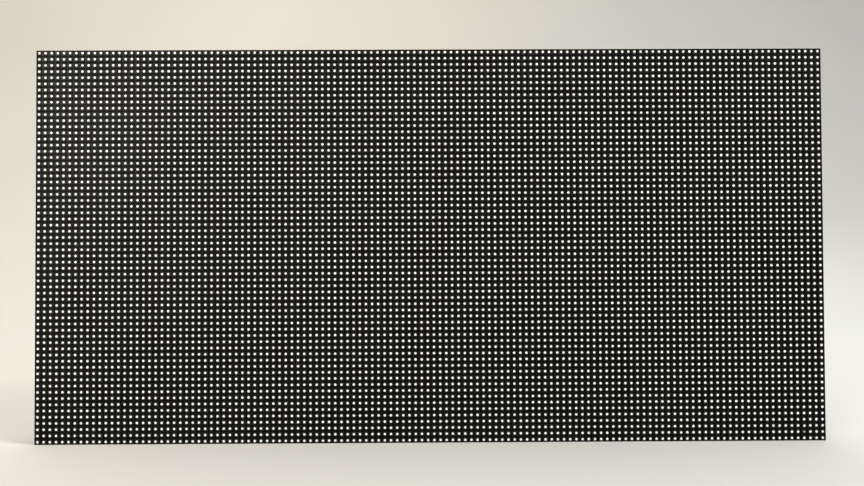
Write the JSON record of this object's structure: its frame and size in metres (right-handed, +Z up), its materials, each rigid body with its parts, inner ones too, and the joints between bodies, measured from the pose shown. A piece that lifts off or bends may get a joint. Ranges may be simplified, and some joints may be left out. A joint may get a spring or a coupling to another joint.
{
  "type": "led dot matrix",
  "caption": "Full-colour LED dot matrix module: a black masked face of fine white dots on a circuit board, in a ribbed plastic back frame.",
  "frame": {"origin": "middle of the underside, on the surface that the module stands on", "axes": "+X along the module to the right as seen from the front, +Z up, and the LED face looks towards -Y"},
  "size_m": [0.3194, 0.0144, 0.1595],
  "materials": {
    "mask_plastic": "fine matt moulding",
    "led_body": "black moulded resin, slight sheen",
    "led_resin": "milky diffusing resin",
    "board": "green solder mask, satin",
    "frame_plastic": "moulded, satin",
    "brass": "turned",
    "chip_body": "moulded epoxy",
    "ceramic": "fired ceramic",
    "resistor": "glazed",
    "capacitor_base": "moulded",
    "can_aluminium": "satin",
    "header_plastic": "moulded",
    "pin_metal": "plated, bright",
    "power_plastic": "natural nylon"
  },
  "bodies": {
    "root": {"front_mask": "mask_plastic", "mask_columns": "mask_plastic", "led_bodies": "led_body", "led_windows": "led_resin", "led_board": "board", "back_frame": "frame_plastic", "mounting_pillars": "brass", "red_drivers": "chip_body", "green_drivers": "chip_body", "blue_drivers": "chip_body", "row_drivers": "chip_body", "input_buffers": "chip_body", "ceramic_capacitors": "ceramic", "chip_resistors": "resistor", "capacitor_bases": "capacitor_base", "capacitor_cans": "can_aluminium", "data_in_shroud": "header_plastic", "data_in_pins": "pin_metal", "data_out_shroud": "header_plastic", "data_out_pins": "pin_metal", "power_header": "power_plastic", "power_pins": "pin_metal"}
  },
  "joints": []
}
